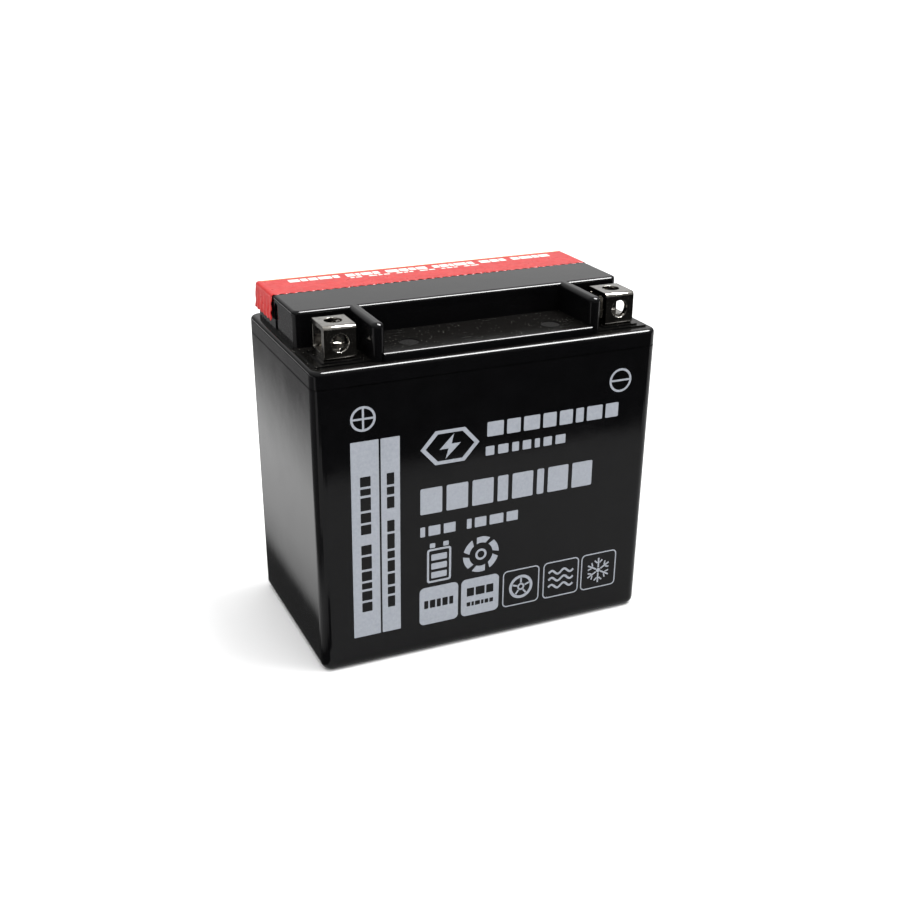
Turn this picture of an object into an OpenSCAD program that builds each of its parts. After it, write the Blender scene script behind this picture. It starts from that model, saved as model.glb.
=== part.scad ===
// Six-cell starter battery for a motorcycle: a partitioned plastic container, a welded cover with
// a raised rear block, a strip of six cell plugs under a sealing tape, and two open box terminals.
// Millimetres. X runs along the length, -Y is the terminal side, +Z is up, z = 0 is the base.

/* [Container] */
// Length over the container and cover
body_l = 150; // [140:1:160]
// Depth over the container and cover
body_w = 87; // [84:1:95]
// Height of the container, from the base to the weld with the cover
case_h = 122.5; // [115:0.5:130]
// Plan radius of the container's vertical corners
corner_r = 4.5; // [4:0.5:6]
// Radius of the edge around the base
foot_r = 3.5; // [2:0.5:4]
// How far each side leans in between the cover and the base
draft = 1.1; // [0:0.1:1.2]
// Thickness of the outer walls and the floor
wall = 3; // [2.5:0.1:3.5]
// Thickness of the walls between the cells
partition = 1.8; // [1.4:0.1:2]

/* [Cover] */
// Height of the cover's skirt, up to its flat shoulder
skirt_h = 7.3; // [6.5:0.1:9]
// Radius of the skirt's upper edge
skirt_edge = 1.8; // [0.5:0.1:2]
// Thickness of the shoulder plate
shoulder_t = 2.8; // [2:0.1:3]
// Height of the raised block's top above the base
block_top = 145; // [142:0.1:148]
// Half of the raised block's length
block_hx = 72.2; // [71.5:0.1:72.5]
// Front face of the raised block
block_y0 = -13.5; // [-15:0.1:-12]
// Rear face of the raised block
block_y1 = 37.5; // [37:0.1:40]
// Plan radius of the raised block's corners
block_r = 3; // [1:0.5:3]
// Radius of the raised block's upper edge
block_edge = 1.4; // [0.5:0.1:1.5]
// Thickness of the raised block's roof and walls
block_t = 2.4; // [2:0.1:3]
// Inner face of each rib, from the middle of the battery
rib_x0 = 44.2; // [42:0.1:46]
// Thickness of the ribs
rib_t = 5.4; // [4:0.1:5.5]
// Radius of the ribs' upper edges
rib_edge = 2; // [0.5:0.1:2]
// Front face of the ribs
rib_y0 = -40.2; // [-41:0.1:-38]
// Height of the platform between the ribs, above the base
platform_top = 133.3; // [132:0.1:136]

/* [Terminals] */
// Width of a terminal, along the battery
term_w = 13; // [11:0.1:13.5]
// Front face of the terminals
term_y0 = -35.2; // [-36:0.1:-34]
// Rear face of the terminals
term_y1 = -20; // [-20.5:0.1:-19]
// Height of the terminals' top above the base
term_top = 144.5; // [144:0.1:147]
// Thickness of the front plate
term_front_t = 2.8; // [2:0.1:3]
// Thickness of the rear plate
term_rear_t = 2.2; // [1.5:0.1:2.4]
// Thickness of the top plate
term_top_t = 2; // [1.5:0.1:2.2]
// Thickness of the foot
term_foot_t = 2.6; // [1.5:0.1:3]
// Diameter of the hole in the top plate
top_hole_d = 7; // [6.4:0.1:7.4]
// Diameter of the hole in the front plate
front_hole_d = 7.2; // [6.4:0.1:7.4]
// Height of the hole in the front plate above the base
front_hole_z = 137.6; // [137.4:0.1:138.4]

/* [Cells] */
// Positive plates in each cell
positives = 4; // [3:1:4]
// Thickness of a positive plate
positive_t = 1.9; // [1.6:0.1:2.2]
// Thickness of a negative plate
negative_t = 1.3; // [1.1:0.1:1.5]
// Depth of the plates, across the battery
plate_w = 76; // [70:1:78]
// Height of the plates
plate_h = 95; // [88:1:98]

/* [Cell plugs] */
// Diameter of the filling wells in the cover
well_d = 11.2; // [10:0.1:12]
// Diameter of the plugs
plug_d = 10.4; // [9:0.1:10.6]
// How far a plug reaches below the strip
plug_l = 12; // [10:0.5:13]

/* [Hidden] */
$fn = 64;
hull_fn = 32;

cells = 6;
eps = 0.01;
LEFT = -1;
RIGHT = 1;
FRONT = -1;
REAR = 1;

// Cells
cell_l = (body_l - 2 * wall - (cells - 1) * partition) / cells;
pitch = cell_l + partition;
cell_w = body_w - 2 * wall;
plate_z = wall;
plate_top = plate_z + plate_h;
negatives = positives + 1;
mats = 2 * positives;
stack_play = 0.2;
mat_t = (cell_l - stack_play - positives * positive_t - negatives * negative_t) / mats;
mat_w = plate_w + 3;
mat_h = plate_h + 2.5;
lug_w = 9;
lug_top = plate_top + 6;
lug_y = 27.3;                               // lugs and straps stand this far in front of and behind the middle
strap_w = 12;
strap_t = 5;
strap_l = cell_l - 2.5;
riser_t = 3;
riser_w = 14;
riser_h = 14;
weld_r = 4;
weld_z = lug_top + strap_t + 4;

// Cover
shoulder = case_h + skirt_h;
groove_in = 0.4;                            // weld line around the battery, between container and cover
groove_up = 0.5;
pad_top = shoulder + 0.6;
foot_z = pad_top + 0.6;
pad_x = 72;
pad_y0 = -38.4;
step_x = 68.7;
step_w = 15.4;
step_y0 = -36.6;
step_y1 = -18.6;
panel_y = 11.5;                             // end panels reach this far either side of the middle
panel_z0 = 131.5;
panel_z1 = 142.6;
panel_depth = 0.5;
tape_seat = 0.4;                            // the tape lies this deep in the block's top
tape_y0 = 13.3;
tape_y1 = 37.4;
seat_z = block_top - tape_seat;
slot_hx = 69.6;                             // slot for the strip of plugs
slot_y0 = 15;
slot_y1 = 35.8;
slot_depth = 3.4;
slot_r = 2;
slot_z = seat_z - slot_depth;
well_y = (slot_y0 + slot_y1) / 2;
well_tube_r = well_d / 2 + 1.8;
well_tube_z = case_h + 1;
platform_y0 = -40.8;
platform_edge = 1.2;
vent_x = 31;                                // discs, and the ducts that lead to them from the slot
vent_y = -30.7;
vent_r = 4;
vent_depth = 1.5;
duct_r = 1;
duct_wall = 1.2;
duct_z = 130;
duct_y = slot_y0 + 1.4;

// Posts, their seals and the terminals
term_x = 60.75;
term_yc = (term_y0 + term_front_t + term_y1 - term_rear_t) / 2;
post_r = 4.5;
post_hole_r = post_r + 0.1;
weld_pad_r = 4;                             // weld on the terminal's foot, over the post
weld_pad_t = 0.6;
seal_r = post_r + 1.9;
seal_z = shoulder - 2.2;
boss_r = 8.6;
boss_z = case_h + 1.5;
resin_t = 1;
ring_r = 0.88;
bend_r = 1.6;                               // outer bend of the terminal's box
bend_in_r = 0.5;

// Strip of plugs
strip_play = 0.3;
strip_top = seat_z - 0.15;
lid_t = 1.2;
lid_in = 1.5;                               // rim of the strip around its lid
chamber_r = 3.2;                            // a valve's chamber, above the cup that opens to the cell
chamber_z = slot_z - plug_l + 5;
cup_r = 3.7;
cup_h = 3.8;
nozzle_r = 1.2;
nozzle_h = 4;
nozzle_bore_r = 0.6;
gallery_w = 2;
gallery_h = 1.2;
groove_r = 4.05;
groove_h = 2;
groove_z = slot_z - 4;
plug_ring_r = 0.74;
valve_r = 2.2;
valve_t = 5;

// Sealing tape
tape_t = 0.3;
tape_gap = 0.05;
tape_flap_z = 134.3;
tape_top_x = block_hx + 0.35;
tape_foot_x = block_hx + 1.2;

function cell_x(i) = (i - (cells + 1) / 2) * pitch;
function positive_side(i) = i % 2 == 1 ? FRONT : REAR;

// A plate with round plan corners, standing on z = 0.
module rounded_plate(l, w, r, h) {
    linear_extrude(h) {
        square([l - 2 * r, w], center = true);
        square([l, w - 2 * r], center = true);
        for (x = [-1, 1], y = [-1, 1])
            translate([x * (l / 2 - r), y * (w / 2 - r)]) circle(r);
    }
}

// Section of a slab w wide and h high, standing on y = 0, its upper corners rounded by e.
module slab_section(w, h, e) {
    translate([-w / 2, 0]) square([w, h - e]);
    translate([-w / 2 + e, 0]) square([w - 2 * e, h]);
    for (x = [-1, 1]) translate([x * (w / 2 - e), h - e]) circle(e);
}

// A slab with plan corners of radius r and an upper edge of radius e.
module soft_slab(l, w, r, h, e) {
    translate([r - l / 2, 0, 0]) rotate([90, 0, 90]) linear_extrude(l - 2 * r) slab_section(w, h, e);
    translate([0, w / 2 - r, 0]) rotate([90, 0, 0]) linear_extrude(w - 2 * r) slab_section(l, h, e);
    for (x = [-1, 1], y = [-1, 1])
        translate([x * (l / 2 - r), y * (w / 2 - r), 0])
            rotate_extrude() intersection() {
                slab_section(2 * r, h, e);
                square([r, h]);
            }
}

// A box from corner a to corner b.
module span(a, b) {
    translate([min(a.x, b.x), min(a.y, b.y), min(a.z, b.z)])
        cube([abs(b.x - a.x), abs(b.y - a.y), abs(b.z - a.z)]);
}

module each_cell() {
    for (i = [1:cells]) translate([cell_x(i), 0, 0]) children();
}

module each_end() {
    for (side = [LEFT, RIGHT]) mirror([side == LEFT ? 1 : 0, 0, 0]) children();
}

// ---- container ----

// Quarter-round corner of the base.
module foot_corner() {
    rotate_extrude($fn = hull_fn)
        polygon(concat([[0, 0]],
            [for (a = [-90:15:0]) [corner_r - foot_r + foot_r * cos(a), foot_r + foot_r * sin(a)]],
            [[0, foot_r]]));
}

module container_outside() {
    hull() {
        for (x = [-1, 1], y = [-1, 1]) {
            translate([x * (body_l / 2 - draft - corner_r), y * (body_w / 2 - draft - corner_r), 0])
                foot_corner();
            translate([x * (body_l / 2 - corner_r), y * (body_w / 2 - corner_r), case_h - eps])
                cylinder(r = corner_r, h = eps, $fn = hull_fn);
        }
    }
}

module container() {
    color([0.03, 0.03, 0.03])
    difference() {
        container_outside();
        each_cell() translate([-cell_l / 2, -cell_w / 2, wall]) cube([cell_l, cell_w, case_h]);
        for (i = [1:cells - 1])
            translate([cell_x(i) + cell_l / 2 - 1, -positive_side(i) * lug_y, weld_z])
                rotate([0, 90, 0]) cylinder(r = weld_r, h = partition + 2);
    }
}

// ---- cover ----

module platform() {
    translate([-rib_x0 - 1, 0, 0]) rotate([90, 0, 90]) linear_extrude(2 * rib_x0 + 2) {
        translate([platform_y0, shoulder - 1])
            square([block_y0 + 1 - platform_y0, platform_top - platform_edge - shoulder + 1]);
        translate([platform_y0 + platform_edge, shoulder - 1])
            square([block_y0 + 1 - platform_y0 - platform_edge, platform_top - shoulder + 1]);
        translate([platform_y0 + platform_edge, platform_top - platform_edge]) circle(platform_edge);
    }
}

module rib() {
    run = block_y0 + 2 * block_edge + 2 - rib_y0;
    translate([rib_x0 + rib_t / 2, rib_y0 + run / 2, shoulder - 1])
        soft_slab(rib_t, run, rib_t / 2 - eps, block_top - shoulder + 1, rib_edge);
}

module cover_outside() {
    translate([0, 0, case_h])
        rounded_plate(body_l - 2 * groove_in, body_w - 2 * groove_in, corner_r - groove_in, groove_up + 1);
    translate([0, 0, case_h + groove_up])
        soft_slab(body_l, body_w, corner_r, skirt_h - groove_up, skirt_edge);
    translate([0, (block_y0 + block_y1) / 2, shoulder - 1])
        soft_slab(2 * block_hx, block_y1 - block_y0, block_r, block_top - shoulder + 1, block_edge);
    platform();
    each_end() {
        rib();
        span([rib_x0 + 1, pad_y0, shoulder - 1], [pad_x, block_y0 + 1, pad_top]);
        span([step_x - step_w, step_y0, shoulder - 1], [step_x, step_y1, foot_z]);
    }
}

// Walls of a duct from the slot to a disc, across the gas space of a cell.
module duct_walls() {
    half = duct_r + duct_wall;
    span([vent_x - half, block_y0, duct_z - half], [vent_x + half, duct_y + half, duct_z + half]);
    span([vent_x - half, duct_y - half, duct_z - half], [vent_x + half, duct_y + half, slot_z]);
}

module duct() {
    translate([vent_x, vent_y, duct_z]) rotate([-90, 0, 0]) cylinder(r = duct_r, h = duct_y - vent_y);
    translate([vent_x, duct_y, duct_z]) cylinder(r = duct_r, h = slot_z - duct_z + 1);
    translate([vent_x, vent_y, duct_z]) cylinder(r = duct_r, h = platform_top - duct_z);
}

// Gas spaces of the cells, open below, around the wells' tubes, the posts' bosses and the ducts.
module cover_pockets() {
    difference() {
        each_cell() {
            span([-cell_l / 2, -cell_w / 2, case_h - 1], [cell_l / 2, cell_w / 2, shoulder - shoulder_t]);
            span([-cell_l / 2 + 0.5, block_y0 + block_t, case_h],
                 [cell_l / 2 - 0.5, slot_y0 - block_t, block_top - block_t]);
            span([-cell_l / 2 + 0.5, slot_y0 - block_t - 1, case_h],
                 [cell_l / 2 - 0.5, block_y1 - block_t, slot_z - block_t]);
        }
        each_cell() translate([0, well_y, well_tube_z]) cylinder(r = well_tube_r, h = slot_z);
        each_end() {
            translate([term_x, term_yc, boss_z]) cylinder(r = boss_r, h = slot_z);
            duct_walls();
        }
    }
}

module cover() {
    color([0.03, 0.03, 0.03])
    difference() {
        cover_outside();
        cover_pockets();
        span([-body_l / 2, tape_y0 - 0.2, seat_z], [body_l / 2, block_y1 + 1, block_top + 1]);
        translate([0, well_y, slot_z]) rounded_plate(2 * slot_hx, slot_y1 - slot_y0, slot_r, slot_depth + 1);
        each_cell() translate([0, well_y, case_h - 1]) cylinder(d = well_d, h = block_top - case_h);
        each_end() {
            translate([block_hx - panel_depth, -panel_y, panel_z0])
                cube([2, 2 * panel_y, panel_z1 - panel_z0]);
            translate([term_x, term_yc, case_h]) cylinder(r = post_hole_r, h = 20);
            translate([term_x, term_yc, seal_z]) cylinder(r = seal_r, h = 20);
            translate([vent_x, vent_y, platform_top - vent_depth]) cylinder(r = vent_r, h = 5);
            duct();
        }
    }
}

// Porous discs that let gas out and keep flames from going in.
module vent_discs() {
    color([0.09, 0.09, 0.09])
    each_end()
        translate([vent_x, vent_y, platform_top - vent_depth]) cylinder(r = vent_r - 0.05, h = vent_depth - 0.3);
}

// ---- strip of plugs ----

module plug_ring_groove() {
    translate([0, 0, groove_z - groove_h / 2])
        difference() {
            cylinder(r = plug_d, h = groove_h);
            translate([0, 0, -1]) cylinder(r = groove_r, h = groove_h + 2);
        }
}

// A valve's chamber with its nozzle, and the cup under it.
module plug_inside() {
    difference() {
        union() {
            translate([0, 0, chamber_z]) cylinder(r = chamber_r, h = strip_top - chamber_z);
            translate([0, 0, slot_z - plug_l - 1]) cylinder(r = cup_r, h = cup_h + 1);
        }
        translate([0, 0, chamber_z - 1]) cylinder(r = nozzle_r, h = nozzle_h + 1);
    }
    translate([0, 0, slot_z - plug_l]) cylinder(r = nozzle_bore_r, h = plug_l);
}

module strip_plate(inset, z0, z1) {
    translate([0, well_y, z0])
        rounded_plate(2 * (slot_hx - strip_play - inset), slot_y1 - slot_y0 - 2 * (strip_play + inset),
            slot_r - strip_play, z1 - z0);
}

module cap_strip() {
    color([0.06, 0.06, 0.065])
    difference() {
        union() {
            strip_plate(0, slot_z, strip_top);
            each_cell() translate([0, well_y, slot_z - plug_l]) cylinder(d = plug_d, h = plug_l + 1);
        }
        strip_plate(lid_in, strip_top - lid_t, strip_top + 1);
        translate([-slot_hx, well_y - gallery_w / 2, strip_top - lid_t - gallery_h])
            cube([2 * slot_hx, gallery_w, gallery_h]);
        each_cell() translate([0, well_y, 0]) {
            plug_ring_groove();
            plug_inside();
        }
    }
}

// Flat lid welded into the strip, over the chambers and the gallery that joins them.
module strip_lid() {
    color([0.06, 0.06, 0.065]) strip_plate(lid_in + 0.05, strip_top - lid_t, strip_top);
}

module plug_o_rings() {
    color([0.25, 0.05, 0.04])
    each_cell() translate([0, well_y, groove_z])
        rotate_extrude() translate([groove_r + plug_ring_r + 0.02, 0]) circle(plug_ring_r, $fn = 32);
}

// Rubber caps over the nozzles, which lift when gas presses.
module relief_valves() {
    color([0.12, 0.12, 0.12])
    each_cell() translate([0, well_y, chamber_z + 0.3])
        difference() {
            cylinder(r = valve_r, h = valve_t);
            translate([0, 0, -1]) cylinder(r = nozzle_r + 0.05, h = nozzle_h + 1);
        }
}

// Tape over the strip, in its seat. It is folded down both ends of the block and stands a little away there.
module seal_tape() {
    z1 = seat_z + tape_gap;
    outer = [[-tape_foot_x - tape_t, tape_flap_z], [-tape_top_x - tape_t, z1 + tape_t],
             [tape_top_x + tape_t, z1 + tape_t], [tape_foot_x + tape_t, tape_flap_z]];
    inner = [[tape_foot_x, tape_flap_z], [tape_top_x, z1], [-tape_top_x, z1], [-tape_foot_x, tape_flap_z]];
    color([0.85, 0.1, 0.1])
    translate([0, tape_y1, 0]) rotate([90, 0, 0])
        linear_extrude(tape_y1 - tape_y0) polygon(concat(outer, inner));
}

// ---- terminals and posts ----

module rounded_rect(a, b, r) {
    translate([a.x + r, a.y]) square([b.x - a.x - 2 * r, b.y - a.y]);
    translate([a.x, a.y + r]) square([b.x - a.x, b.y - a.y - 2 * r]);
    for (x = [a.x + r, b.x - r], y = [a.y + r, b.y - r]) translate([x, y]) circle(r);
}

// A box open at both sides: foot, front plate, top plate and rear plate, holed in front and on top.
module terminal() {
    translate([0, term_yc, foot_z + term_foot_t - eps]) cylinder(r = weld_pad_r, h = weld_pad_t);
    difference() {
        translate([-term_w / 2, 0, 0]) rotate([90, 0, 90]) linear_extrude(term_w)
            difference() {
                rounded_rect([term_y0, foot_z], [term_y1, term_top], bend_r);
                rounded_rect([term_y0 + term_front_t, foot_z + term_foot_t],
                             [term_y1 - term_rear_t, term_top - term_top_t], bend_in_r);
            }
        translate([0, term_yc, term_top - term_top_t - 1]) cylinder(d = top_hole_d, h = term_top_t + 2);
        translate([0, term_y0 + term_front_t + 1, front_hole_z])
            rotate([90, 0, 0]) cylinder(d = front_hole_d, h = term_front_t + 2);
    }
}

module positive_terminal() {
    color([0.62, 0.6, 0.56]) translate([-term_x, 0, 0]) terminal();
}

module negative_terminal() {
    color([0.62, 0.6, 0.56]) translate([term_x, 0, 0]) terminal();
}

// Lead post from its cell's strap up to the terminal's foot.
module post(side) {
    z0 = lug_top + strap_t;
    color([0.5, 0.5, 0.5]) translate([side * term_x, term_yc, z0]) cylinder(r = post_r, h = foot_z - z0);
}

module post_o_rings() {
    color([0.08, 0.08, 0.08])
    each_end() translate([term_x, term_yc, seal_z + ring_r + 0.02])
        rotate_extrude() translate([(post_r + seal_r) / 2, 0]) circle(ring_r, $fn = 32);
}

// Resin that seals each post into its well in the cover, level with the pad.
module post_resin() {
    color([0.15, 0.12, 0.1])
    each_end() translate([term_x, term_yc, foot_z - resin_t])
        difference() {
            cylinder(r = seal_r - 0.02, h = resin_t);
            translate([0, 0, -1]) cylinder(r = post_r + 0.02, h = resin_t + 2);
        }
}

// ---- cells ----

// Left faces of the plates in a cell: negative, mat, positive, mat, negative and so on.
function negative_x(k) = -(cell_l - stack_play) / 2 + k * (negative_t + positive_t + 2 * mat_t);
function positive_x(k) = negative_x(k) + negative_t + mat_t;
function mat_x(k) = k % 2 == 0 ? negative_x(k / 2) + negative_t : positive_x((k - 1) / 2) + positive_t;

// One plate with its lug.
module plate(t, side) {
    translate([0, -plate_w / 2, plate_z]) cube([t, plate_w, plate_h]);
    translate([0, side * lug_y - lug_w / 2, plate_top - 1]) cube([t, lug_w, lug_top - plate_top + 1]);
}

module positive_plates(i) {
    color([0.3, 0.16, 0.1])
    for (k = [0:positives - 1])
        translate([cell_x(i) + positive_x(k), 0, 0]) plate(positive_t, positive_side(i));
}

module negative_plates(i) {
    color([0.42, 0.43, 0.45])
    for (k = [0:negatives - 1])
        translate([cell_x(i) + negative_x(k), 0, 0]) plate(negative_t, -positive_side(i));
}

module glass_mats(i) {
    color([0.92, 0.92, 0.9])
    for (k = [0:mats - 1])
        translate([cell_x(i) + mat_x(k), -mat_w / 2, plate_z]) cube([mat_t, mat_w, mat_h]);
}

// Lead bar over the lugs. riser is the side with the wall that the cell is joined through, or 0.
module strap(i, side, riser) {
    color([0.5, 0.5, 0.5])
    translate([cell_x(i), side * lug_y, lug_top]) {
        translate([-strap_l / 2, -strap_w / 2, 0]) cube([strap_l, strap_w, strap_t]);
        if (riser != 0)
            span([riser * cell_l / 2, -riser_w / 2, 0],
                 [riser * (cell_l / 2 - riser_t), riser_w / 2, riser_h]);
    }
}

module positive_strap(i) {
    strap(i, positive_side(i), i == 1 ? 0 : LEFT);
}

module negative_strap(i) {
    strap(i, -positive_side(i), i == cells ? 0 : RIGHT);
}

module partition_welds() {
    color([0.5, 0.5, 0.5])
    for (i = [1:cells - 1])
        translate([cell_x(i) + cell_l / 2, -positive_side(i) * lug_y, weld_z])
            rotate([0, 90, 0]) cylinder(r = weld_r - 0.02, h = partition);
}

container();
cover();
cap_strip();
strip_lid();
plug_o_rings();
relief_valves();
vent_discs();
seal_tape();
positive_terminal();
negative_terminal();
post(LEFT);  // positive_post
post(RIGHT);  // negative_post
post_o_rings();
post_resin();
partition_welds();
for (i = [1:cells]) {
    positive_plates(i);
    negative_plates(i);
    glass_mats(i);
    positive_strap(i);
    negative_strap(i);
}
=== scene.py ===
"""Looks of a six-cell motorcycle battery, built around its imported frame.

Metres. X runs along the length, -Y is the terminal side, +Z is up, z = 0 is the base. Outlines of print are
written in millimetres and placed on the part by a function.
"""
from math import ceil, cos, pi, radians, sin

import bmesh
import bpy
from mathutils import Matrix, Vector, noise


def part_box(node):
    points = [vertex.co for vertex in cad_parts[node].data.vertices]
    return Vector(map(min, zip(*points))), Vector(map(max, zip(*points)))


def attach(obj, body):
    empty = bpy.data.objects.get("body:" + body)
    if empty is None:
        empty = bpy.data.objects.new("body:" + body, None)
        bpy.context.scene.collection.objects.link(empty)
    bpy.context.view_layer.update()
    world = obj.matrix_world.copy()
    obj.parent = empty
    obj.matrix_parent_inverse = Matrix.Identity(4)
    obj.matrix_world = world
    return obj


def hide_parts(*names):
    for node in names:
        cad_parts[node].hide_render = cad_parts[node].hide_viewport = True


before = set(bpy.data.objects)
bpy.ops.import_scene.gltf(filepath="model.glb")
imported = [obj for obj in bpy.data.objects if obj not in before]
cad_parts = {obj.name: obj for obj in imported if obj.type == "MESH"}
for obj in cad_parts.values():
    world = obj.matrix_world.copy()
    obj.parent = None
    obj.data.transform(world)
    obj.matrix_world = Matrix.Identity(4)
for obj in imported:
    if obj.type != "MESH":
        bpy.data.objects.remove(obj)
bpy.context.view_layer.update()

MM = 0.001
scene = bpy.context.scene


# ---- camera, light and floor ----

def add_camera(azimuth, elevation, roll, distance, lens, target):
    """Camera that looks at target from azimuth and elevation in degrees. lens is in millimetres."""
    az, el, roll = radians(azimuth), radians(elevation), radians(roll)
    back = Vector((sin(az) * cos(el), -cos(az) * cos(el), sin(el)))
    level = Vector((cos(az), sin(az), 0))
    up = back.cross(level)
    right = level * cos(roll) + up * sin(roll)
    up = up * cos(roll) - level * sin(roll)
    data = bpy.data.cameras.new("camera")
    data.sensor_width = 36
    data.lens = lens
    camera = bpy.data.objects.new("camera", data)
    turn = Matrix((right, up, back)).transposed().to_4x4()
    camera.matrix_world = Matrix.Translation(Vector(target) + back * distance) @ turn
    scene.collection.objects.link(camera)
    scene.camera = camera


def add_world():
    """Soft light, strongest from above and dim near the horizon. The camera sees an even pale background."""
    world = bpy.data.worlds.new("studio")
    world.use_nodes = True
    scene.world = world
    nodes, links = world.node_tree.nodes, world.node_tree.links
    direction = nodes.new("ShaderNodeTexCoord").outputs["Generated"]
    split = nodes.new("ShaderNodeSeparateXYZ")
    links.new(direction, split.inputs[0])
    height = nodes.new("ShaderNodeMapRange")
    height.inputs["From Min"].default_value = 0.1
    height.inputs["From Max"].default_value = 1.0
    height.inputs["To Min"].default_value = 0.22
    height.inputs["To Max"].default_value = 2.0
    links.new(split.outputs["Z"], height.inputs["Value"])
    seen = nodes.new("ShaderNodeLightPath")
    pick = nodes.new("ShaderNodeMix")
    links.new(seen.outputs["Is Camera Ray"], pick.inputs["Factor"])
    links.new(height.outputs["Result"], pick.inputs["A"])
    pick.inputs["B"].default_value = 0.98
    background = nodes["Background"]
    background.inputs["Color"].default_value = (1, 1, 1, 1)
    links.new(pick.outputs["Result"], background.inputs["Strength"])


def add_sun(direction, strength, angle):
    """Key light from a direction, as wide as angle in degrees."""
    data = bpy.data.lights.new("key", "SUN")
    data.energy = strength
    data.angle = radians(angle)
    sun = bpy.data.objects.new("key", data)
    sun.rotation_euler = Vector(direction).to_track_quat("Z", "Y").to_euler()
    scene.collection.objects.link(sun)


def add_card(name, centre, normal, size, stops):
    """Flat studio card that only shows in reflections.

    stops are (place along its width, radiance), in order from 0 to 1. Place 0 is the +X edge of a card that
    faces up.
    """
    mesh = bpy.data.meshes.new(name)
    half_x, half_y = size[0] / 2, size[1] / 2
    corners = [(-half_x, -half_y, 0), (half_x, -half_y, 0), (half_x, half_y, 0), (-half_x, half_y, 0)]
    mesh.from_pydata(corners, [], [(0, 1, 2, 3)])
    card = bpy.data.objects.new(name, mesh)
    turn = Vector(normal).to_track_quat("Z", "Y").to_matrix().to_4x4()
    card.matrix_world = Matrix.Translation(centre) @ turn
    paint = bpy.data.materials.new(name)
    paint.use_nodes = True
    shader = paint.node_tree.nodes["Principled BSDF"]
    shader.inputs["Base Color"].default_value = (0, 0, 0, 1)
    shader.inputs["Specular IOR Level"].default_value = 0
    brightest = max(radiance for _, radiance in stops)
    shader.inputs["Emission Strength"].default_value = brightest
    nodes, links = paint.node_tree.nodes, paint.node_tree.links
    across = nodes.new("ShaderNodeSeparateXYZ")
    links.new(nodes.new("ShaderNodeTexCoord").outputs["Generated"], across.inputs[0])
    ramp = nodes.new("ShaderNodeValToRGB")
    marks = ramp.color_ramp.elements
    for place, _ in stops[1:-1]:
        marks.new(place)
    for mark, (_, radiance) in zip(marks, stops):
        mark.color = (radiance / brightest,) * 3 + (1,)
    links.new(across.outputs["X"], ramp.inputs["Fac"])
    links.new(ramp.outputs["Color"], shader.inputs["Emission Color"])
    mesh.materials.append(paint)
    card.visible_camera = False
    card.visible_diffuse = False
    card.visible_transmission = False
    card.visible_shadow = False
    scene.collection.objects.link(card)


def add_floor(half):
    """Plain pale floor at z = 0."""
    mesh = bpy.data.meshes.new("floor")
    corners = [(-half, -half, 0), (half, -half, 0), (half, half, 0), (-half, half, 0)]
    mesh.from_pydata(corners, [], [(0, 1, 2, 3)])
    floor = bpy.data.objects.new("floor", mesh)
    paint = bpy.data.materials.new("floor")
    paint.use_nodes = True
    shader = paint.node_tree.nodes["Principled BSDF"]
    shader.inputs["Base Color"].default_value = (0.93, 0.93, 0.93, 1)
    shader.inputs["Roughness"].default_value = 0.9
    shader.inputs["Specular IOR Level"].default_value = 0
    mesh.materials.append(paint)
    scene.collection.objects.link(floor)


# ---- procedural materials ----

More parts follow.
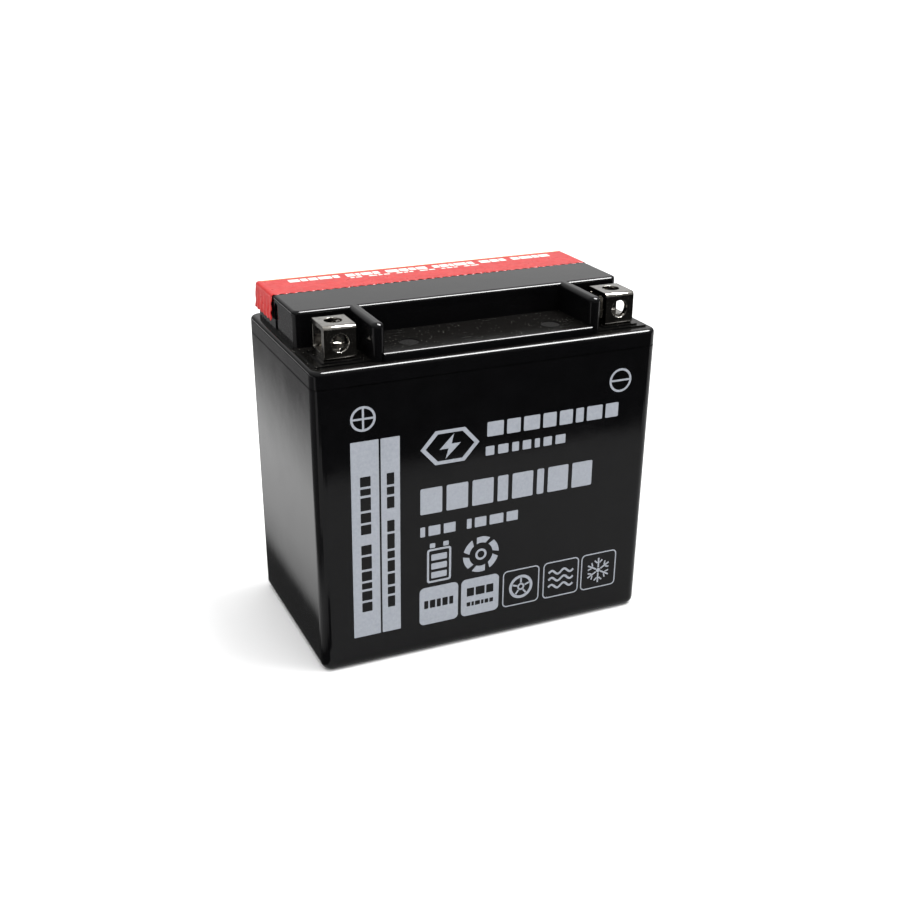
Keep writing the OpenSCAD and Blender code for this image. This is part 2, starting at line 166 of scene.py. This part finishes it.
class Finish:
    """A procedural material: one shader, with textures in the part's own space. Sizes are in millimetres."""

    def __init__(self, name, **fixed):
        self.material = bpy.data.materials.new(name)
        self.material.use_nodes = True
        self.nodes = self.material.node_tree.nodes
        self.links = self.material.node_tree.links
        self.shader = self.nodes["Principled BSDF"]
        for socket, value in fixed.items():
            self.shader.inputs[socket.replace("_", " ")].default_value = value
        self.place = self.nodes.new("ShaderNodeTexCoord").outputs["Object"]
        self.normal = None

    def link(self, value, socket):
        if isinstance(value, bpy.types.NodeSocket):
            self.links.new(value, socket)
        else:
            socket.default_value = value

    def stretched(self, stretch):
        mapping = self.nodes.new("ShaderNodeMapping")
        mapping.inputs["Scale"].default_value = stretch
        self.links.new(self.place, mapping.inputs["Vector"])
        return mapping.outputs["Vector"]

    def noise(self, size, detail=2.0, roughness=0.5, stretch=(1, 1, 1)):
        """Soft noise with features of about size. stretch squeezes it along each axis."""
        node = self.nodes.new("ShaderNodeTexNoise")
        node.inputs["Scale"].default_value = 1 / (size * MM)
        node.inputs["Detail"].default_value = detail
        node.inputs["Roughness"].default_value = roughness
        self.links.new(self.stretched(stretch), node.inputs["Vector"])
        return node.outputs["Fac"]

    def cells(self, size, feature="F1", stretch=(1, 1, 1)):
        """Distance inside Voronoi cells of about size."""
        node = self.nodes.new("ShaderNodeTexVoronoi")
        node.feature = feature
        node.inputs["Scale"].default_value = 1 / (size * MM)
        self.links.new(self.stretched(stretch), node.inputs["Vector"])
        return node.outputs["Distance"]

    def bands(self, pitch, axis):
        """Smooth bands across an axis, a pitch apart."""
        node = self.nodes.new("ShaderNodeTexWave")
        node.bands_direction = axis
        node.inputs["Scale"].default_value = pi / 10 / (pitch * MM)
        self.links.new(self.place, node.inputs["Vector"])
        return node.outputs["Fac"]

    def ramp(self, value, low, high, start=0.0, end=1.0):
        """Value from low to high as the input goes from start to end, held outside."""
        node = self.nodes.new("ShaderNodeMapRange")
        self.link(value, node.inputs["Value"])
        for socket, number in zip(("From Min", "From Max", "To Min", "To Max"), (start, end, low, high)):
            node.inputs[socket].default_value = number
        return node.outputs["Result"]

    def math(self, operation, a, b):
        node = self.nodes.new("ShaderNodeMath")
        node.operation = operation
        self.link(a, node.inputs[0])
        self.link(b, node.inputs[1])
        return node.outputs[0]

    def mix(self, share, a, b):
        """Colour a, and colour b where share is 1."""
        node = self.nodes.new("ShaderNodeMix")
        node.data_type = "RGBA"
        self.link(share, node.inputs["Factor"])
        for value, socket in ((a, node.inputs[6]), (b, node.inputs[7])):
            self.link(value if isinstance(value, bpy.types.NodeSocket) else (*value, 1), socket)
        return node.outputs[2]

    def bump(self, height, depth, strength=1.0):
        """Adds relief of that depth."""
        node = self.nodes.new("ShaderNodeBump")
        node.inputs["Distance"].default_value = depth * MM
        node.inputs["Strength"].default_value = strength
        self.links.new(height, node.inputs["Height"])
        if self.normal:
            self.links.new(self.normal, node.inputs["Normal"])
        self.normal = node.outputs["Normal"]

    def finish(self, colour, roughness):
        self.links.new(colour, self.shader.inputs["Base Color"])
        self.links.new(roughness, self.shader.inputs["Roughness"])
        if self.normal:
            self.links.new(self.normal, self.shader.inputs["Normal"])
        return self.material


def ledge_mask(f, low, high):
    """1 on faces that look up and lie between two heights, in metres."""
    geometry = f.nodes.new("ShaderNodeNewGeometry")
    facing = f.nodes.new("ShaderNodeSeparateXYZ")
    f.links.new(geometry.outputs["True Normal"], facing.inputs[0])
    place = f.nodes.new("ShaderNodeSeparateXYZ")
    f.links.new(f.place, place.inputs[0])
    up = f.ramp(facing.outputs["Z"], 0, 1, 0.85, 0.95)
    above = f.math("GREATER_THAN", place.outputs["Z"], low)
    below = f.math("LESS_THAN", place.outputs["Z"], high)
    return f.math("MULTIPLY", up, f.math("MULTIPLY", above, below))


def case_plastic(ledge):
    """Glossy black moulded plastic. Its ledges between two heights are grained and hold a little dust."""
    f = Finish("case_plastic", Specular_IOR_Level=0.11)
    mask = ledge_mask(f, *ledge)
    tone = f.mix(f.noise(9, 3), (0.0014, 0.0014, 0.0016), (0.0034, 0.0034, 0.0038))
    grained = f.mix(f.noise(0.5, 4, 0.7), (0.0015, 0.0015, 0.0014), (0.011, 0.0105, 0.0095))
    specks = f.ramp(f.cells(1.5), 1, 0, 0.1, 0.16)
    clumps = f.ramp(f.noise(5, 2), 0, 1, 0.46, 0.56)
    dusty = f.mix(f.math("MULTIPLY", specks, clumps), grained, (0.14, 0.135, 0.12))
    colour = f.mix(mask, tone, dusty)
    smears = f.ramp(f.noise(22, 4, 0.6), 0.07, 0.15, 0.3, 0.7)
    scratches = f.ramp(f.noise(0.35, 2, 0.5, (0.03, 1, 1)), 0, 0.08, 0.62, 0.72)
    plain = f.math("ADD", smears, scratches)
    roughness = f.math("ADD", plain, f.math("MULTIPLY", mask, 0.08))
    f.bump(f.noise(13, 2), 0.03)
    f.bump(f.noise(0.8, 2), 0.002)
    f.bump(f.math("MULTIPLY", f.noise(0.3, 3, 0.7), mask), 0.008)
    return f.finish(colour, roughness)


def strip_plastic():
    """Matt dark plastic."""
    f = Finish("strip_plastic", Specular_IOR_Level=0.3)
    colour = f.mix(f.noise(7, 3), (0.02, 0.02, 0.022), (0.034, 0.034, 0.036))
    f.bump(f.noise(0.35, 3, 0.6), 0.006)
    return f.finish(colour, f.ramp(f.noise(3, 4, 0.6), 0.3, 0.45, 0.3, 0.7))


def tape_film():
    """Printed red film with fine creases."""
    f = Finish("tape_film", Specular_IOR_Level=0.16, Coat_Weight=0.05, Coat_Roughness=0.16)
    mottle = f.noise(5, 4, 0.6)
    colour = f.mix(f.ramp(mottle, 0, 1, 0.3, 0.7), (0.46, 0.008, 0.008), (0.56, 0.016, 0.014))
    f.bump(f.cells(7, "DISTANCE_TO_EDGE", (0.45, 1, 1)), 0.05, 0.5)
    f.bump(f.noise(1.6, 3, 0.55), 0.02)
    return f.finish(colour, f.ramp(f.noise(2.4, 4, 0.6), 0.26, 0.42, 0.3, 0.7))


def terminal_metal():
    """Tinned metal with a cast skin, fine brush marks and dull stains."""
    f = Finish("terminal_metal", Metallic=1.0)
    stains = f.ramp(f.noise(2.6, 5, 0.65), 0, 1, 0.46, 0.66)
    skin = f.mix(f.noise(0.5, 3, 0.6), (0.17, 0.162, 0.148), (0.24, 0.23, 0.21))
    colour = f.mix(stains, skin, (0.12, 0.112, 0.1))
    roughness = f.ramp(f.noise(1.2, 4, 0.7), 0.07, 0.15, 0.3, 0.7)
    f.bump(f.noise(0.9, 3, 0.6), 0.005)
    f.bump(f.noise(0.16, 2, 0.5, (0.06, 1, 1)), 0.0015)
    return f.finish(colour, roughness)


def lead():
    """Dull cast lead."""
    f = Finish("lead", Metallic=0.85)
    colour = f.mix(f.noise(1.8, 5, 0.65), (0.2, 0.205, 0.22), (0.42, 0.43, 0.45))
    f.bump(f.noise(0.9, 4, 0.6), 0.05)
    return f.finish(colour, f.ramp(f.noise(1.1, 4, 0.6), 0.42, 0.7, 0.3, 0.7))


def pasted_plate(name, dark, light):
    """Paste pressed into a cast grid, which shows as a faint lattice."""
    f = Finish(name, Specular_IOR_Level=0.2)
    uprights = f.ramp(f.bands(6, "Y"), 0, 1, 0.93, 1)
    rungs = f.ramp(f.bands(9, "Z"), 0, 1, 0.93, 1)
    lattice = f.math("MAXIMUM", uprights, rungs)
    paste = f.mix(f.noise(1.2, 5, 0.7), dark, light)
    colour = f.mix(f.math("MULTIPLY", lattice, 0.4), paste, (0.3, 0.3, 0.31))
    f.bump(lattice, 0.08)
    f.bump(f.noise(0.5, 4, 0.7), 0.05)
    return f.finish(colour, f.ramp(f.noise(0.8, 3), 0.75, 0.95, 0.3, 0.7))


def glass_mat():
    """Felted white glass fibre."""
    f = Finish("glass_mat", Specular_IOR_Level=0.25, Sheen_Weight=0.2)
    fibres = f.math("ADD", f.noise(0.12, 3, 0.6, (1, 0.05, 1)), f.noise(0.12, 3, 0.6, (1, 1, 0.05)))
    colour = f.mix(f.ramp(fibres, 0, 1, 0.7, 1.3), (0.72, 0.72, 0.69), (0.9, 0.9, 0.87))
    f.bump(fibres, 0.06)
    return f.finish(colour, f.ramp(fibres, 0.8, 0.98, 0.7, 1.3))


def seal_rubber():
    """Dark rubber."""
    f = Finish("seal_rubber", Specular_IOR_Level=0.3)
    colour = f.mix(f.noise(1.1, 4, 0.6), (0.016, 0.016, 0.017), (0.036, 0.035, 0.035))
    f.bump(f.noise(0.18, 3, 0.6), 0.01)
    return f.finish(colour, f.ramp(f.noise(0.9, 3), 0.5, 0.72, 0.3, 0.7))


def resin():
    """Poured brown sealing resin."""
    f = Finish("resin", Specular_IOR_Level=0.4)
    colour = f.mix(f.noise(1.6, 4, 0.6), (0.03, 0.02, 0.016), (0.06, 0.042, 0.034))
    f.bump(f.noise(1.4, 2), 0.05)
    return f.finish(colour, f.ramp(f.noise(1, 3), 0.18, 0.34, 0.3, 0.7))


def porous_plastic():
    """Sintered beads, fused where they touch. Their colour carries painted shade, darker in the gaps between
    the beads.
    """
    f = Finish("porous_plastic", Specular_IOR_Level=0.03)
    beads = f.cells(0.32)
    # Painted shade: the colour is lighter on each bead's crown and darker towards the gaps between beads,
    # where the pores lie in shade.
    colour = f.mix(f.ramp(beads, 1, 0, 0.2, 0.7), (0.004, 0.004, 0.004), (0.022, 0.021, 0.02))
    f.bump(f.ramp(beads, 1, 0, 0.1, 0.8), 0.09)
    return f.finish(colour, f.ramp(f.noise(0.5, 3), 0.6, 0.85, 0.3, 0.7))


def ink(name, low, high):
    """Screen-printed ink, with a grain that lets it vary a little."""
    f = Finish(name, Specular_IOR_Level=0.3)
    colour = f.mix(f.ramp(f.noise(1.3, 5, 0.7), 0, 1, 0.3, 0.7), low, high)
    f.bump(f.noise(0.18, 3, 0.6), 0.006)
    return f.finish(colour, f.ramp(f.noise(0.7, 3), 0.36, 0.5, 0.3, 0.7))


# ---- outlines, in millimetres ----

ARC_STEP = radians(10)


def arc(cx, cy, r, start, end):
    """Points of an arc, angles in degrees."""
    a, b = radians(start), radians(end)
    steps = max(2, ceil(abs(b - a) / ARC_STEP))
    angles = [a + (b - a) * i / steps for i in range(steps + 1)]
    return [(cx + r * cos(angle), cy + r * sin(angle)) for angle in angles]


def disc(cx, cy, r):
    return arc(cx, cy, r, 0, 360)[:-1]


def ring(cx, cy, r, line):
    return [disc(cx, cy, r), disc(cx, cy, r - line)]


def block(x0, y0, x1, y1, r):
    """Rectangle with round corners."""
    return (arc(x1 - r, y0 + r, r, -90, 0) + arc(x1 - r, y1 - r, r, 0, 90)
            + arc(x0 + r, y1 - r, r, 90, 180) + arc(x0 + r, y0 + r, r, 180, 270))


def polygon(cx, cy, half_w, half_h, corners, turn=0):
    return [(cx + half_w * cos(turn + 2 * pi * i / corners), cy + half_h * sin(turn + 2 * pi * i / corners))
            for i in range(corners)]


def stroke(points, width):
    """Closed outline of a line of that width along points, with flat ends."""
    left, right = [], []
    for i, p in enumerate(points):
        a, b = points[max(i - 1, 0)], points[min(i + 1, len(points) - 1)]
        along = Vector((b[0] - a[0], b[1] - a[1])).normalized() * (width / 2)
        left.append((p[0] - along.y, p[1] + along.x))
        right.append((p[0] + along.y, p[1] - along.x))
    return left + right[::-1]


WORD_SPACE = 2


def word_blocks(x0, x1, y0, y1, shares, gap, r):
    """Row of plain blocks from x0 to x1 that stands for a line of words.

    shares are the blocks' widths next to each other, and 0 is a space between words, WORD_SPACE wide.
    """
    spaces = gap * (len(shares) - 1)
    unit = (x1 - x0 - spaces) / sum(share or WORD_SPACE for share in shares)
    loops, x = [], x0
    for share in shares:
        width = unit * (share or WORD_SPACE)
        if share:
            loops.append(block(x, y0, x + width, y1, r))
        x += width + gap
    return loops


def turned(loops):
    """The loops with x and y swapped, so that a row becomes a column."""
    return [[(y, x) for x, y in loop] for loop in loops]


# ---- flat printed pieces ----

def front_plane():
    """A point and the outward normal of the container's flat front."""
    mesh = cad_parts["container"].data
    faces = [face for face in mesh.polygons if face.normal.y < -0.99]
    face = max(faces, key=lambda one: one.area)
    return face.center.copy(), face.normal.copy()


def onto_front(lift):
    """Function that takes x, z and a height off the surface in millimetres to a point on the front."""
    centre, normal = front_plane()

    def place(x, z, off):
        point = Vector((x * MM, 0, z * MM))
        point.y = centre.y - ((point.x - centre.x) * normal.x + (point.z - centre.z) * normal.z) / normal.y
        return point + normal * (off + lift) * MM
    return place


def onto_top(z):
    """Function that takes x, y and a height in millimetres to a point over the level z."""
    return lambda x, y, off: Vector((x * MM, y * MM, z + off * MM))


def flat_piece(name, loops, thickness, place, paint, body):
    """Thin solid with these outlines, where a loop inside another is a hole."""
    curve = bpy.data.curves.new(name, "CURVE")
    curve.dimensions = "2D"
    curve.fill_mode = "BOTH"
    curve.extrude = thickness / 2
    for loop in loops:
        spline = curve.splines.new("POLY")
        spline.points.add(len(loop) - 1)
        for point, (x, y) in zip(spline.points, loop):
            point.co = (x, y, 0, 1)
        spline.use_cyclic_u = True
    outline = bpy.data.objects.new(name, curve)
    scene.collection.objects.link(outline)
    evaluated = outline.evaluated_get(bpy.context.evaluated_depsgraph_get())
    mesh = bpy.data.meshes.new_from_object(evaluated)
    bpy.data.objects.remove(outline)
    bpy.data.curves.remove(curve)
    for vertex in mesh.vertices:
        vertex.co = place(vertex.co.x, vertex.co.y, vertex.co.z + thickness / 2)
    add_piece(name, mesh, paint, body)


def add_piece(name, mesh, paint, body):
    """Tidies the mesh and puts it on its body."""
    work = bmesh.new()
    work.from_mesh(mesh)
    bmesh.ops.remove_doubles(work, verts=work.verts, dist=0.0005 * MM)
    bmesh.ops.recalc_face_normals(work, faces=work.faces)
    work.to_mesh(mesh)
    work.free()
    mesh.name = name
    mesh.materials.clear()
    mesh.materials.append(paint)
    piece = bpy.data.objects.new(name, mesh)
    scene.collection.objects.link(piece)
    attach(piece, body)


# ---- front print ----

def polarity_mark(cx, cy, plus):
    """Ring with a plus or a minus in it, cut from one disc."""
    r, line, arm = 5.2, 0.95, 0.42
    inner = r - line
    edge = degrees_of(arm, inner)
    if plus:
        quarters = [arc(cx, cy, inner, 90 * q + edge, 90 * q + 90 - edge)
                    + [(cx + arm * s, cy + arm * t)]
                    for q, (s, t) in enumerate([(1, 1), (-1, 1), (-1, -1), (1, -1)])]
        return [disc(cx, cy, r)] + quarters
    return [disc(cx, cy, r), arc(cx, cy, inner, edge, 180 - edge), arc(cx, cy, inner, 180 + edge, 360 - edge)]


def degrees_of(half_width, r):
    """Angle in degrees at which a bar of that half width meets a circle of radius r."""
    return 180 / pi * (half_width / r)


def emblem(cx, cy):
    """Long hexagon with a charge bolt in it."""
    corners = [(1.6, 5.2), (-4.6, -0.9), (-0.7, -0.9), (-2.0, -5.2), (4.6, 1.0), (0.6, 1.0)]
    bolt = [(cx + x, cy + y) for x, y in corners]
    return [polygon(cx, cy, 12.8, 8.4, 6), polygon(cx, cy, 10.6, 6.7, 6), bolt]


def side_bar(x0, x1, text_x0, text_x1, shares):
    """Tall bar with a column of blocks cut out of it."""
    foot, top = 13.7, 100
    column = word_blocks(25, 85, text_x0, text_x1, shares, 0.95, 0.35)
    return [block(x0, foot, x1, top, 0.3)] + turned(column)


def battery_symbol(cx, y0):
    """Upright battery outline with three level bars."""
    body = block(cx - 5.4, y0, cx + 5.4, y0 + 15.6, 1.2)
    inside = block(cx - 4.5, y0 + 0.9, cx + 4.5, y0 + 14.7, 0.6)
    poles = [block(cx + s * 3 - 1.2, y0 + 16.1, cx + s * 3 + 1.2, y0 + 18.2, 0.4) for s in (-1, 1)]
    levels = [block(cx - 3.5, y0 + 2 + 4.1 * i, cx + 3.5, y0 + 4.8 + 4.1 * i, 0.4) for i in range(3)]
    return [body, inside] + poles + levels


def loop_symbol(cx, cy):
    """Ring of six blades round a hub."""
    loops = ring(cx, cy, 2.6, 1.0)
    for i in range(6):
        blade = arc(cx, cy, 8.2, 60 * i, 60 * i + 44) + arc(cx, cy, 5.4, 60 * i + 52, 60 * i + 8)
        loops.append(blade)
    return loops


def tile(x0, filled):
    """Rounded tile, solid or outlined."""
    foot, side, r, line = 12.8, 17.5, 2.2, 0.55
    outer = block(x0, foot, x0 + side, foot + side, r)
    if filled:
        return [outer]
    return [outer, block(x0 + line, foot + line, x0 + side - line, foot + side - line, r - line)]


def wheel_symbol(cx, cy):
    """Rim, hub and spokes."""
    loops = ring(cx, cy, 5.6, 1.3) + ring(cx, cy, 1.7, 0.8)
    spokes = 5
    for i in range(spokes):
        c, s = cos(2 * pi * i / spokes + pi / 2), sin(2 * pi * i / spokes + pi / 2)
        loops.append(stroke([(cx + c * 1.9, cy + s * 1.9), (cx + c * 4.1, cy + s * 4.1)], 0.8))
    return loops


def wave_symbol(cx, cy):
    """Three wavy lines, two waves long."""
    pitch, height, length = 3.4, 0.95, 6
    across = [i / 2 for i in range(-12, 13)]
    return [stroke([(cx + x, cy + row * pitch + height * sin(x * 2 * pi / length)) for x in across], 1.0)
            for row in (-1, 0, 1)]


def snow_symbol(cx, cy):
    """Six arms with a chevron near the end of each."""
    loops = [disc(cx, cy, 1.0)]
    for i in range(6):
        a = pi / 3 * i + pi / 6
        out = Vector((cos(a), sin(a)))
        side = Vector((-out.y, out.x))
        centre = Vector((cx, cy))
        loops.append(stroke([tuple(centre + out * 1.3), tuple(centre + out * 6)], 0.75))
        for s in (-1, 1):
            root = centre + out * 3.6 + side * s * 0.55
            loops.append(stroke([tuple(root), tuple(root + out * 1.3 + side * s * 1.3)], 0.65))
    return loops


def front_print(paint):
    """All that is printed on the front, as plain shapes that stand for lines of words and symbols."""
    place = onto_front(0.004)
    pieces = {
        "positive_mark": polarity_mark(-55.3, 109.2, True),
        "negative_mark": polarity_mark(58.2, 109.5, False),
        "wide_bar": side_bar(-60.7, -49.1, -57.0, -52.6, [3, 3, 2, 3, 4, 3, 0, 3, 3, 4, 2, 3]),
        "narrow_bar": side_bar(-48.3, -40.3, -45.9, -42.7, [3, 2, 3, 3, 2, 4, 3, 0, 3, 2, 3]),
        "emblem": emblem(-18.8, 92.2),
        "name_row": word_blocks(-2.6, 58, 93.6, 99.9, [6, 5, 6, 5, 5, 3, 6, 5], 1.5, 0.5),
        "lower_row": word_blocks(-3.1, 33.4, 85.4, 89.4, [5, 6, 4, 5, 3, 5, 6], 1.7, 0.4),
        "type_row": word_blocks(-31.6, 47, 64, 75.4, [6, 6, 6, 3, 6, 2, 6, 6], 1.9, 0.6),
        "rating_row": word_blocks(-31.6, 12.5, 54, 58.4, [2, 5, 5, 0, 2, 5, 6, 5], 1.5, 0.35),
        "battery_symbol": battery_symbol(-23.2, 32.2),
        "loop_symbol": loop_symbol(-4.2, 41),
        "tile_1": tile(-31.9, True)
        + word_blocks(-29.8, -16.6, 20.3, 24.1, [3, 4, 3, 4, 3], 0.7, 0.3),
        "tile_2": tile(-13, True)
        + word_blocks(-10.4, 2, 22, 26, [4, 5, 4], 0.7, 0.3)
        + word_blocks(-10.4, 2, 17.2, 19.2, [3, 2, 4, 2, 3, 3], 0.5, 0.2),
        "tile_3": tile(6.4, False) + wheel_symbol(15.1, 21.5),
        "tile_4": tile(25.8, False) + wave_symbol(34.5, 21.5),
        "tile_5": tile(44.5, False) + snow_symbol(53.2, 21.5),
    }
    for name, loops in pieces.items():
        flat_piece(name, loops, 0.03, place, paint, "battery")


# ---- sealing tape, in millimetres ----

FILM = 0.16  # thickness
FOLD_R = 1.1  # radius of the folds at the ends of the block
FLARE = 0.95  # how far the flaps stand out past the folds
TOOTH_PITCH = 3.8  # of the pinked front edge
TOOTH_DEPTH = 1.8
ROWS = 22  # faces across the film's width


def tape_box():
    """The tape's low and high corners."""
    return [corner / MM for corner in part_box("seal_tape")]


def tape_profile(low, high, step):
    """Points over the top and down both ends, with the distance from the middle: (x, z, nx, nz, along)."""
    top_x = high.x - FLARE
    fold_z = high.z - FOLD_R
    half_top = top_x - FOLD_R
    slant = Vector((high.x - top_x, low.z - fold_z))
    down = slant.length
    lean = Vector((-slant.y, slant.x)) / down
    turn = pi / 2 * FOLD_R
    total = half_top + turn + down
    count = ceil(total / step)
    side = []
    for i in range(count + 1):
        s = total * i / count
        if s <= half_top:
            side.append((s, high.z, 0, 1, s))
        elif s <= half_top + turn:
            a = (s - half_top) / FOLD_R
            side.append((half_top + FOLD_R * sin(a), fold_z + FOLD_R * cos(a), sin(a), cos(a), s))
        else:
            t = (s - half_top - turn) / down
            side.append((top_x + slant.x * t, fold_z + slant.y * t, lean.x, lean.y, s))
    return [(-x, z, -nx, nz, -s) for x, z, nx, nz, s in side[:0:-1]] + side


def wobble(x, y, z):
    """Smooth noise, from about -1 to 1."""
    return noise.noise(Vector((x, y, z)))


def film_relief(s, y, z, drop):
    """Height of the film's middle off its profile. drop is 0 over the block and near 1 at a flap's end."""
    wave = wobble(s * 0.06, y * 0.11, 1.7) * 0.5 + 0.5
    ripple = wobble(s * 0.35, y * 0.5, 4.1) * 0.5 + 0.5
    sink = (0.05 * wave if drop == 0 else 0) + 0.02 * ripple
    crease = 0.28 * sin(y * 1.35 + 0.6 * sin(z)) + 0.22 * wobble(y * 0.6, z * 0.25, 9)
    return drop * (crease - 0.5) - sink - FILM / 2


def tape_grid():
    """Rows of points of the film, one row across its width at each step along it."""
    low, high = tape_box()
    grid = []
    for x, z, nx, nz, s in tape_profile(low, high, TOOTH_PITCH / 4):
        front = low.y + TOOTH_DEPTH * abs(2 * ((s / TOOTH_PITCH) % 1) - 1)
        drop = max(0.0, high.z - FOLD_R - z) / (high.z - low.z)
        row = []
        for j in range(ROWS + 1):
            y = front + (high.y - front) * j / ROWS
            off = film_relief(s, y, z, drop)
            ragged = max(0.0, drop * drop * 0.5 * wobble(y * 0.35, 3.3, s))
            row.append(Vector((x + nx * off, y, z + nz * off + ragged)) * MM)
        grid.append(row)
    return grid


def tape_piece(paint):
    """Film over the plugs, folded down the ends, with a pinked front edge, soft waves and creased flaps."""
    mesh = bpy.data.meshes.new("sealing_tape")
    work = bmesh.new()
    grid = [[work.verts.new(point) for point in row] for row in tape_grid()]
    for a, b in zip(grid, grid[1:]):
        for j in range(ROWS):
            work.faces.new((a[j], b[j], b[j + 1], a[j + 1]))
    bmesh.ops.recalc_face_normals(work, faces=work.faces)
    for face in work.faces:
        face.smooth = True
    work.to_mesh(mesh)
    work.free()
    mesh.materials.append(paint)
    piece = bpy.data.objects.new("sealing_tape", mesh)
    scene.collection.objects.link(piece)
    shell = piece.modifiers.new("film", "SOLIDIFY")
    shell.thickness = FILM * MM
    shell.offset = 0
    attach(piece, "tape")
    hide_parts("seal_tape")


def tape_print(white, orange):
    """Rows of blocks along the rear of the tape, and a thin line at its rear edge."""
    low, high = tape_box()
    place = onto_top(high.z * MM)
    thickness = 0.02
    mid = (low.y + high.y) / 2
    words = [5, 3, 4, 6, 3, 0, 4, 2, 5, 3, 0, 6, 4, 3, 5, 0, 3, 4, 2, 6, 3, 0, 5, 4, 3, 0, 4, 6, 3, 5]
    small = [2, 3, 0, 4, 2, 3, 0, 3, 2, 2, 0, 4, 3, 0, 2, 3, 2, 0, 3, 4]
    rows = word_blocks(-60, 63, mid + 4.4, mid + 8.6, words, 0.6, 0.4)
    rows += word_blocks(-34, 26, mid + 1.7, mid + 3.0, small, 0.6, 0.3)
    flat_piece("tape_words", rows, thickness, place, white, "tape")
    line = [block(-70.5, high.y - 1.0, 70.5, high.y - 0.35, 0.2)]
    flat_piece("tape_line", line, thickness, place, orange, "tape")


# ---- carried-over nodes ----

def soften(node, width):
    """Small round on a node's sharp edges, width in millimetres."""
    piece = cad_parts[node]
    weld = piece.modifiers.new("weld", "WELD")
    weld.merge_threshold = 0.001 * MM
    bevel = piece.modifiers.new("edges", "BEVEL")
    bevel.width = width * MM
    bevel.segments = 2
    bevel.limit_method = "ANGLE"
    bevel.angle_limit = radians(30)
    bevel.use_clamp_overlap = False
    bevel.harden_normals = True


def paint_nodes(paints):
    """Gives each node the finish of its material slot."""
    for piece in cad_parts.values():
        for slot in piece.material_slots:
            name = slot.material.name.split(".")[0]
            slot.material = paints[name]


# ---- the scene ----

add_camera(azimuth=-24.05, elevation=22.456, roll=0.421, distance=0.54792, lens=50.024,
           target=(0.00041, 0, 0.070956))
add_world()
add_sun((0.377, -0.12, 0.92), 1.5, 24)
add_floor(30)
card_direction = Vector((0.377, -0.2, 0.92))
add_card("key_card", card_direction * 1.5, -card_direction, (0.6, 1.1), [(0, 110), (1, 110)])
add_card("front_flag", (0, -2.22, 0.001), (0, 0, 1), (6, 4), [(0, 0.03), (1, 0.03)])
add_card("back_card", (0.9, 2, 0.95), (0, -1, 0), (2.4, 1.2), [(0, 1.05), (1, 1.05)])
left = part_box("container")[0].x
left_stops = [(0, 0.08), (0.024, 0.08), (0.036, 0.9), (0.062, 1.35), (0.116, 1.75), (0.149, 1.4),
              (0.218, 0.34), (0.29, 0.36), (1, 0.3)]
add_card("left_card", (left - 0.2, 0.4, 0.001), (0, 0, 1), (0.4, 1.0), left_stops)

# The cover's ledges lie between these heights: the shoulder, the pads and the platform.
ledge = (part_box("container")[1].z + 6 * MM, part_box("vent_discs")[1].z + 1 * MM)
paints = {
    "case_plastic": case_plastic(ledge),
    "strip_plastic": strip_plastic(),
    "tape_film": tape_film(),
    "terminal_metal": terminal_metal(),
    "lead": lead(),
    "positive_plate": pasted_plate("positive_plate", (0.07, 0.028, 0.015), (0.16, 0.07, 0.04)),
    "negative_plate": pasted_plate("negative_plate", (0.14, 0.145, 0.155), (0.27, 0.275, 0.29)),
    "glass_mat": glass_mat(),
    "seal_rubber": seal_rubber(),
    "resin": resin(),
    "porous_plastic": porous_plastic(),
    "print": ink("print", (0.27, 0.29, 0.325), (0.33, 0.35, 0.39)),
}
paint_nodes(paints)
for node in ("positive_terminal", "negative_terminal"):
    soften(node, 0.14)
front_print(paints["print"])
tape_piece(paints["tape_film"])
tape_print(ink("tape_white", (0.78, 0.76, 0.7), (0.88, 0.86, 0.8)),
           ink("tape_orange", (0.85, 0.3, 0.06), (0.9, 0.4, 0.1)))

scene.view_settings.view_transform = "Standard"
